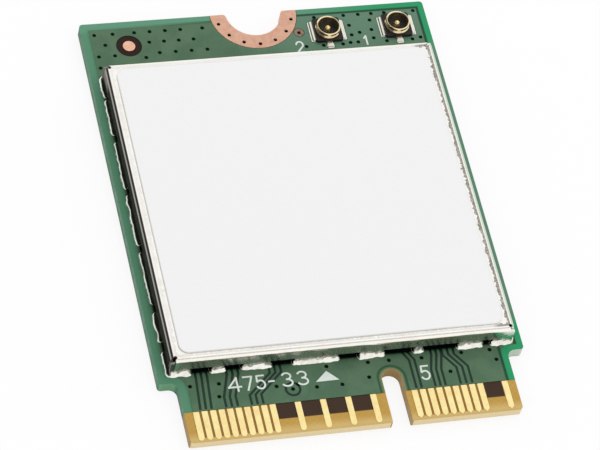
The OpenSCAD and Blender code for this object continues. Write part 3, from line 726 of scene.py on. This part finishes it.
plasticLooks = {
    "seatPlastic": {"colour": tone(42, 37, 35), "shade": tone(28, 24, 22), "roughness": (0.32, 0.5),
                    "scale": 7.0, "shine": 0.25},
    "chipPlastic": {"colour": tone(44, 44, 46), "shade": tone(34, 34, 36), "roughness": (0.52, 0.7),
                    "scale": 9.0, "shine": 0.4},
    "firedCeramic": {"colour": tone(176, 150, 116), "shade": tone(150, 124, 94),
                     "roughness": (0.52, 0.7), "scale": 6.0, "shine": 0.4},
    "markingInk": {"colour": tone(228, 236, 230), "shade": tone(214, 224, 217),
                   "roughness": (0.52, 0.7), "scale": 10.0, "shine": 0.2},
    "viaShade": {"colour": tone(34, 20, 14), "shade": tone(20, 12, 9), "roughness": (0.42, 0.6),
                 "scale": 8.0, "shine": 0.02},
    "wellLacquer": {"colour": tone(6, 26, 14), "shade": tone(4, 18, 9), "roughness": (0.32, 0.5),
                    "scale": 8.0, "shine": 0.02},
}
# what all the plastics, the ceramic and the ink share
plasticWear = {"detail": 4.0, "mottle": (0.3, 0.7), "bump": (0.3, 0.01)}


def makePlastic(name, look):
    material, tree, shader = newMaterial(name)
    mottle = grainAt(tree, look["scale"], look["detail"])
    colour = mixColour(tree, ramp(tree, mottle, *look["mottle"]), look["colour"], look["shade"])
    setSurface(tree, shader, look, colour, mottle, mottle)
    return material


# heights of the lacquer over copper and of the lacquer in the gaps, on each face
lacquerHeights = {"top": (boardTop - 0.004, boardTop - 0.016), "bottom": (0.004, 0.016)}

materials = {name: makeMetal(name, {**metalWear, **look}) for name, look in metalLooks.items()}
materials.update({name: makePlastic(name, {**plasticWear, **look}) for name, look in plasticLooks.items()})
materials["lacquerTop"] = makeLacquer("lacquerTop", lacquerLook, *lacquerHeights["top"], True)
materials["lacquerBottom"] = makeLacquer("lacquerBottom", lacquerLook, *lacquerHeights["bottom"], False)
materials["laminate"] = makeLaminate("laminate", laminateLook)
materials["canSheet"] = makeCanSheet("canSheet", canLook)
materials["labelFilm"] = makeLabel("labelFilm", labelLook)

finishes = {
    "laminate": ["laminate_core"],
    "lacquerTop": ["lacquer_top"],
    "lacquerBottom": ["lacquer_bottom"],
    "bareCopper": ["fixing_pad"],
    "markCopper": ["alignment_mark"],
    "testCopper": ["test_ring"],
    "contactGold": ["contacts_top", "contacts_bottom"],
    "canSheet": ["shield_can"],
    "labelFilm": ["can_label"],
    "brightSolder": ["can_solder"],
    "jackTin": ["jack_solder"],
    "seatPlastic": ["jack_1_seat", "jack_2_seat"],
    "shellGold": ["jack_1_shell", "jack_2_shell"],
    "pinGold": ["jack_1_pin", "jack_2_pin"],
    "chipPlastic": ["radio_chip", "front_end_modules", "memory_chip", "power_coil", "resistor_bodies"],
    "firedCeramic": ["antenna_filters", "crystal_case", "capacitor_bodies"],
    "innerTin": ["radio_chip_leads", "memory_chip_leads", "crystal_cap", "power_coil_ends",
                 "capacitor_ends", "resistor_ends"],
}
for materialName, nodeNames in finishes.items():
    for nodeName in nodeNames:
        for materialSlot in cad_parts[nodeName].material_slots:
            materialSlot.material = materials[materialName]
print("stage: materials on", sum(map(len, finishes.values())), "nodes")


# pieces that only this script makes

def addPiece(name, mesh, material):
    data = bpy.data.meshes.new(name)
    mesh.to_mesh(data)
    mesh.free()
    data.materials.append(material)
    piece = bpy.data.objects.new(name, data)
    bpy.context.scene.collection.objects.link(piece)
    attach(piece, "root")
    return piece


def skin(mesh, rows):
    # faces round a run of rings with equal counts of points, with a cap at each end
    sides = len(rows[0])
    for first, second in zip(rows, rows[1:]):
        for side in range(sides):
            following = (side + 1) % sides
            mesh.faces.new((first[side], first[following], second[following], second[side]))
    mesh.faces.new(rows[0][::-1])
    mesh.faces.new(rows[-1])


def arc(centreX, centreY, radiusX, radiusY, startTurn, endTurn, steps=14):
    # points on an oval, with the turns in degrees
    points = []
    for step in range(steps + 1):
        turn = math.radians(startTurn + (endTurn - startTurn) * step / steps)
        points.append((centreX + radiusX * math.cos(turn), centreY + radiusY * math.sin(turn)))
    return points


def addRibbon(mesh, points, width, lowZ, highZ):
    # a flat stroke along a run of points, which reaches past both ends by half its width, all in mm
    path = [Vector(point) for point in points]
    path[0] = path[0] + (path[0] - path[1]).normalized() * width / 2
    path[-1] = path[-1] + (path[-1] - path[-2]).normalized() * width / 2
    rows = []
    for index, point in enumerate(path):
        before = path[max(index - 1, 0)]
        after = path[min(index + 1, len(path) - 1)]
        ahead = (after - before).normalized()
        aside = Vector((-ahead.y, ahead.x)) * width / 2
        left, right = point + aside, point - aside
        corners = [(left, highZ), (right, highZ), (right, lowZ), (left, lowZ)]
        rows.append([mesh.verts.new((spot.x * mm, spot.y * mm, z * mm)) for spot, z in corners])
    skin(mesh, rows)


markLook = {
    "stroke": 0.11,
    "height": 0.01,
    "sunk": 0.001,
    "layer": 0.0008,
    "rowY": -11.95,
    "rowHeight": 0.87,
    # each digit with its left edge and its width, and its foot and height where it stands alone
    "digits": [("4", -7.02, 0.72), ("7", -6.1, 0.54), ("5", -5.36, 0.5),
               ("3", -3.82, 0.6), ("3", -2.9, 0.6)],
    "dash": [(-4.62, -11.53), (-4.34, -11.52)],
    "triangle": [(-1.89, -11.87), (-0.48, -11.86), (-1.14, -11.2)],
    "single": ("5", 4.43, -12.42, 0.5, 0.9),
    "ports": [("2", 2.2, 11.7, 0.46, 0.8), ("1", 6.6, 11.95, 0.2, 0.62)],
}


def digitStrokes(digit):
    # strokes in a box that is 1 wide and 1 high
    return {
        "1": [[(0.1, 0.78), (0.7, 1.0)], [(0.75, 1.0), (0.75, 0.0)]],
        "2": [arc(0.5, 0.7, 0.46, 0.3, 165, -30, 12) + [(0.1, 0.06)], [(0.06, 0.0), (1.0, 0.0)]],
        "3": [arc(0.45, 0.76, 0.42, 0.24, 150, -85, 12), arc(0.45, 0.26, 0.5, 0.26, 90, -150, 14)],
        "4": [[(0.72, 1.0), (0.0, 0.3)], [(0.0, 0.3), (1.0, 0.3)], [(0.72, 1.0), (0.72, 0.0)]],
        "5": [[(0.2, 1.0), (0.92, 1.0)], [(0.14, 0.96), (0.08, 0.58)],
              arc(0.46, 0.32, 0.5, 0.32, 130, -150, 14)],
        "7": [[(0.04, 1.0), (0.9, 1.0)], [(0.95, 0.97), (0.34, 0.0)]],
    }[digit]


def makeMarks(look):
    mesh = bmesh.new()
    low, high = boardTop - look["sunk"], boardTop + look["height"]
    written = [(digit, x, look["rowY"], width, look["rowHeight"]) for digit, x, width in look["digits"]]
    written += [look["single"]] + look["ports"]
    for digit, x, y, width, height in written:
        # each stroke lies a little higher than the last, so that they don't share a face where they cross
        for layer, stroke in enumerate(digitStrokes(digit)):
            points = [(x + width * across, y + height * up) for across, up in stroke]
            addRibbon(mesh, points, look["stroke"], low, high + layer * look["layer"])
    addRibbon(mesh, look["dash"], look["stroke"], low, high)
    skin(mesh, [[mesh.verts.new((x * mm, y * mm, z * mm)) for x, y in look["triangle"]]
                for z in (low, high)])
    bmesh.ops.recalc_face_normals(mesh, faces=mesh.faces)
    addPiece("printed_marks", mesh, materials["markingInk"])


def looseParts(nodeName, weldWithin=0.0):
    # corners of each loose part of a node's mesh, in mm
    source = bmesh.new()
    source.from_mesh(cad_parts[nodeName].data)
    if weldWithin:
        bmesh.ops.remove_doubles(source, verts=source.verts, dist=weldWithin * mm)
        source.faces.index_update()
    seen, parts = set(), []
    for face in source.faces:
        if face.index in seen:
            continue
        group, waiting = [], [face]
        seen.add(face.index)
        while waiting:
            current = waiting.pop()
            group.append(current)
            for edge in current.edges:
                for other in edge.link_faces:
                    if other.index not in seen:
                        seen.add(other.index)
                        waiting.append(other)
        parts.append([vert.co / mm for item in group for vert in item.verts])
    source.free()
    return parts


def boxOf(corners):
    low = Vector([min(corner[axis] for corner in corners) for axis in range(3)])
    high = Vector([max(corner[axis] for corner in corners) for axis in range(3)])
    return low, high


wellLook = {
    "radius": 0.12,
    "sink": 0.02,
    "steps": 20,
    "sharp": 0.8,
    "flatWithin": 0.002,
    "roundWithin": 0.01,
    # rings from the underside to the middle of the dish, as shares of the radius and depths
    "shallow": [(0.99, 0.0195), (1.14, -0.0015), (0.99, 0.006), (0.6, 0.014), (0.25, 0.017)],
    "deep": [(0.99, 0.14), (0.99, 0.08), (0.6, 0.1), (0.25, 0.11)],
    # the open vias in the bare copper, on a ring about the middle of the notch
    "openRing": 2.42,
    "openStep": 24.4,
    "openCount": 7,
}


def findWells(nodeName, look):
    # centres of the round wells in a sheet of lacquer, in mm
    centres = []
    for corners in looseParts(nodeName):
        low, high = boxOf(corners)
        if max(abs(low.z - look["sink"]), abs(high.z - look["sink"])) > look["flatWithin"]:
            continue
        offWide, offLong = (abs(size - 2 * look["radius"]) for size in (high.x - low.x, high.y - low.y))
        if max(offWide, offLong) < look["roundWithin"]:
            centres.append(((low.x + high.x) / 2, (low.y + high.y) / 2))
    return sorted(centres)


def findOpenVias(look):
    # centres of the open vias in the bare copper and, last, of the one in the test ring, in mm
    spots = []
    for index in range(look["openCount"]):
        turn = math.radians((index - (look["openCount"] - 1) / 2) * look["openStep"])
        spots.append((look["openRing"] * math.sin(turn), card["endY"] - look["openRing"] * math.cos(turn)))
    low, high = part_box("test_ring")
    spots.append(((low.x + high.x) / 2 / mm, (low.y + high.y) / 2 / mm))
    return spots


def shadeRound(mesh, sharp):
    # smooth shading, with hard edges where the faces turn by more than sharp, in radians
    bmesh.ops.recalc_face_normals(mesh, faces=mesh.faces)
    for face in mesh.faces:
        face.smooth = True
    for edge in mesh.edges:
        edge.smooth = edge.calc_face_angle(0.0) < sharp


def makeWells(name, centres, onTop, rings, materialName, look):
    # one dished plug in each via
    mesh = bmesh.new()
    for x, y in centres:
        rows = []
        for share, depth in rings:
            z = boardTop - depth if onTop else depth
            points = arc(x, y, look["radius"] * share, look["radius"] * share, 0, 360, look["steps"])[:-1]
            rows.append([mesh.verts.new((across * mm, along * mm, z * mm)) for across, along in points])
        skin(mesh, rows)
    shadeRound(mesh, look["sharp"])
    print("  ", name, "has", len(centres), "wells")
    addPiece(name, mesh, materials[materialName])


def makeAllWells(look):
    closed = findWells("lacquer_bottom", look)
    opened = findOpenVias(look)
    # the top has the same wells, apart from the one at the test ring's open via
    closedTop = [spot for spot in closed
                 if min(math.dist(spot, other) for other in opened) > look["radius"]]
    makeWells("via_wells_top", closedTop, True, look["shallow"], "wellLacquer", look)
    makeWells("via_wells_bottom", closed, False, look["shallow"], "wellLacquer", look)
    # the open vias get dark plugs deep in the hole: painted shade that stands in for the dark inside of
    # each hole
    makeWells("via_shade_plugs_top", opened, True, look["deep"], "viaShade", look)
    makeWells("via_shade_plugs_bottom", opened[:-1], False, look["deep"], "viaShade", look)


beadLook = {
    "step": 0.06,
    "reach": 0.19,
    "sideHeight": 0.32,
    "endHeight": 0.24,
    "sideHollow": 3.4,    # how steeply the slope curves up to the wall
    "endHollow": 1.6,
    "under": 0.26,        # how far it reaches in under the foot
    "sunk": 0.034,
    "toe": 0.024,
    "rows": 8,
    "cornerRadius": 0.2,
    "cornerGap": 0.01,
    "cornerSteps": 5,
    "cornerLeg": 0.6,     # a bead with two longer legs than this goes round a corner
    "wallWithin": 0.06,
    "endFade": 0.12,
    "endShare": 0.35,
    # two sizes of lump, each with its scale, its place in the noise and its shares of reach and height
    "lump": {"scale": 1.9, "place": 1.7, "reach": 0.4, "height": 0.7},
    "ripple": {"scale": 4.1, "place": 8.2, "reach": 0.3, "height": -0.4},
    "sharp": 0.8,
    "weldWithin": 0.0001,
}


def beadProfile(look, under, reach, height, hollow):
    # closed section across a foot: distance out of the wall and height above the pad
    points = [(-under, -look["sunk"]), (reach, -look["sunk"]), (reach, look["toe"])]
    for row in range(1, look["rows"] + 1):
        share = row / look["rows"]
        points.append((reach * (1 - share), look["toe"] + height * share ** hollow))
    return points + [(0.0, 0.0), (-under, 0.0)]


def straightRun(startX, startY, endX, endY, out, least, look):
    # even points along a wall, each with the direction out of it
    count = max(least, round((abs(endX - startX) + abs(endY - startY)) / look["step"]))
    points = []
    for index in range(count + 1):
        share = index / count
        spot = Vector((startX + (endX - startX) * share, startY + (endY - startY) * share))
        points.append((spot, Vector(out)))
    return points


def beadPath(low, high, wall, look):
    # points along the outer face of one foot, or round a corner, each with the direction out of the wall
    wide, long = high.x - low.x, high.y - low.y
    outX = 1 if low.x + high.x > 0 else -1
    outY = 1 if low.y + high.y > wall["lowY"] + wall["highY"] else -1
    wallX = (high.x if outX > 0 else -low.x) - wall["solderReach"]
    wallY = (high.y if outY > 0 else -low.y) - wall["solderReach"]
    atSide = abs(wallX - wall["x"]) < look["wallWithin"]
    atEnd = abs(wallY - (wall["highY"] if outY > 0 else -wall["lowY"])) < look["wallWithin"]
    if atSide and atEnd and min(wide, long) > look["cornerLeg"]:
        radius = look["cornerRadius"]
        centre = Vector((outX * (wallX - radius), outY * (wallY - radius)))
        startX = low.x if outX > 0 else high.x
        startY = low.y if outY > 0 else high.y
        points = straightRun(startX, outY * wallY, centre.x, outY * wallY, (0, outY), 2, look)[:-1]
        for index in range(look["cornerSteps"] + 1):
            turn = math.pi / 2 * index / look["cornerSteps"]
            out = Vector((outX * math.sin(turn), outY * math.cos(turn)))
            points.append((centre + out * radius, out))
        return points + straightRun(outX * wallX, centre.y, outX * wallX, startY, (outX, 0), 2, look)[1:]
    if wide > long:
        return straightRun(low.x, outY * wallY, high.x, outY * wallY, (0, outY), 3, look)
    return straightRun(outX * wallX, low.y, outX * wallX, high.y, (outX, 0), 3, look)


def addBead(mesh, path, look):
    # one lumpy bead, which thins out to both ends of its path
    length = sum((second[0] - first[0]).length for first, second in zip(path, path[1:]))
    turns = (path[0][1] - path[-1][1]).length > 0
    under = look["cornerRadius"] - look["cornerGap"] if turns else look["under"]
    rows, along = [], 0.0
    for index, (spot, out) in enumerate(path):
        if index:
            along += (spot - path[index - 1][0]).length
        fromEnd = min(along, length - along)
        fade = look["endShare"] + (1 - look["endShare"]) * min(1.0, fromEnd / look["endFade"]) ** 0.5
        toEnd = out.y * out.y
        height = look["sideHeight"] + (look["endHeight"] - look["sideHeight"]) * toEnd
        hollow = look["sideHollow"] + (look["endHollow"] - look["sideHollow"]) * toEnd
        reachShare = heightShare = 1.0
        for wave in (look["lump"], look["ripple"]):
            swell = noise.noise(Vector((spot.x * wave["scale"], spot.y * wave["scale"], wave["place"])))
            reachShare += wave["reach"] * swell
            heightShare += wave["height"] * swell
        profile = beadProfile(look, under, look["reach"] * fade * reachShare,
                              height * fade * heightShare, hollow)
        rows.append([mesh.verts.new(((spot.x + out.x * outward) * mm, (spot.y + out.y * outward) * mm,
                                     (boardTop + up) * mm)) for outward, up in profile])
    skin(mesh, rows)


def makeBeads(look):
    # solder that climbs each foot of the can
    low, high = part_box("shield_can")
    wall = {"x": high.x / mm, "lowY": low.y / mm, "highY": high.y / mm,
            "solderReach": (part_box("can_solder")[1].x - high.x) / mm}
    mesh = bmesh.new()
    feet = looseParts("can_solder", look["weldWithin"])
    for corners in feet:
        addBead(mesh, beadPath(*boxOf(corners), wall, look), look)
    shadeRound(mesh, look["sharp"])
    print("   can_beads has", len(feet), "beads")
    piece = addPiece("can_beads", mesh, materials["beadSolder"])
    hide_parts("can_solder")


makeMarks(markLook)
makeBeads(beadLook)
makeAllWells(wellLook)
print("stage: printed marks, beads and via wells made")


# floor, light and camera

floorLook = {
    "size": 6.0,
    "drop": 0.02,    # in mm, below the card
    "colour": (0.95, 0.95, 0.95, 1.0),
    "roughness": 0.9,
    "shine": 0.1,
    "glow": 0.85,
}


def makeFloor(look):
    mesh = bmesh.new()
    bmesh.ops.create_grid(mesh, x_segments=1, y_segments=1, size=look["size"] / 2)
    data = bpy.data.meshes.new("floor")
    mesh.to_mesh(data)
    mesh.free()
    floor = bpy.data.objects.new("floor", data)
    floor.location.z = -look["drop"] * mm
    bpy.context.scene.collection.objects.link(floor)
    material, tree, shader = newMaterial("floorPaper")
    plug(tree, look["colour"], shader["Base Color"])
    plug(tree, look["roughness"], shader["Roughness"])
    plug(tree, look["shine"], shader["Specular IOR Level"])
    # the camera, glossy and see-through rays get a near white floor that keeps part of its shadow
    path = tree.nodes.new("ShaderNodeLightPath")
    seen = maths(tree, "MAXIMUM", path.outputs["Is Camera Ray"],
                 maths(tree, "MAXIMUM", path.outputs["Is Glossy Ray"], path.outputs["Is Transmission Ray"]))
    glow = tree.nodes.new("ShaderNodeEmission")
    mix = tree.nodes.new("ShaderNodeMixShader")
    plug(tree, times(tree, seen, look["glow"]), mix.inputs[0])
    plug(tree, tree.nodes["Principled BSDF"].outputs[0], mix.inputs[1])
    plug(tree, glow.outputs[0], mix.inputs[2])
    plug(tree, mix.outputs[0], tree.nodes["Material Output"].inputs["Surface"])
    data.materials.append(material)


worldLook = {"soft": 0.93, "dark": 0.1, "darkFrom": 0.3, "darkTo": 0.6}


def makeWorld(look):
    # white studio with a dark side on the left, which only shows in what is shiny
    world = bpy.data.worlds.new("studio")
    world.use_nodes = True
    tree = world.node_tree
    background = tree.nodes["Background"]
    plug(tree, (1.0, 1.0, 1.0, 1.0), background.inputs["Color"])
    path = tree.nodes.new("ShaderNodeLightPath").outputs
    x = splitVector(tree, tree.nodes.new("ShaderNodeTexCoord").outputs["Generated"])[0]
    side = ramp(tree, times(tree, x, -1.0), look["darkFrom"], look["darkTo"], 1.0, look["dark"])
    clear = maths(tree, "MAXIMUM", path["Is Camera Ray"], path["Is Transmission Ray"])
    shiny = times(tree, path["Is Glossy Ray"], side)
    plain = maths(tree, "SUBTRACT", 1.0, maths(tree, "MAXIMUM", clear, path["Is Glossy Ray"]))
    strength = maths(tree, "ADD", maths(tree, "ADD", clear, shiny), times(tree, plain, look["soft"]))
    plug(tree, strength, background.inputs["Strength"])
    bpy.context.scene.world = world


lampLook = {"place": (0.12, 0.24, 0.36), "size": 0.30, "power": 0.22}


def makeLamp(look):
    lamp = bpy.data.lights.new("key", "AREA")
    lamp.shape = "DISK"
    lamp.size = look["size"]
    lamp.energy = look["power"]
    holder = bpy.data.objects.new("key", lamp)
    holder.location = look["place"]
    holder.rotation_euler = (-holder.location).to_track_quat("-Z", "Y").to_euler()
    # the white studio is what shows in shiny surfaces, so the lamp doesn't add to it there
    holder.visible_glossy = False
    bpy.context.scene.collection.objects.link(holder)


cameraLook = {
    "azimuth": -25.651,
    "elevation": 53.937,
    "roll": 16.246,
    "distance": 0.196344,
    "aim": (-0.206 * mm, -0.477 * mm, 0.0),
    "lens": 197.2,
    "sensor": 36.0,
    "near": 0.005,
    "far": 20.0,
}


def makeCamera(look):
    around, up, roll = (math.radians(look[key]) for key in ("azimuth", "elevation", "roll"))
    back = Vector((math.sin(around) * math.cos(up), -math.cos(around) * math.cos(up), math.sin(up)))
    level = Vector((0, 0, 1)).cross(back).normalized()
    upright = back.cross(level)
    right = math.cos(roll) * level + math.sin(roll) * upright
    top = -math.sin(roll) * level + math.cos(roll) * upright
    data = bpy.data.cameras.new("camera")
    data.sensor_width = look["sensor"]
    data.lens = look["lens"]
    data.clip_start = look["near"]
    data.clip_end = look["far"]
    camera = bpy.data.objects.new("camera", data)
    turn = Matrix((right, top, back)).transposed().to_4x4()
    camera.matrix_world = Matrix.Translation(Vector(look["aim"]) + back * look["distance"]) @ turn
    bpy.context.scene.collection.objects.link(camera)
    bpy.context.scene.camera = camera


makeFloor(floorLook)
makeWorld(worldLook)
makeLamp(lampLook)
makeCamera(cameraLook)
bpy.context.scene.view_settings.view_transform = "Standard"
print("stage: floor, light and camera made")
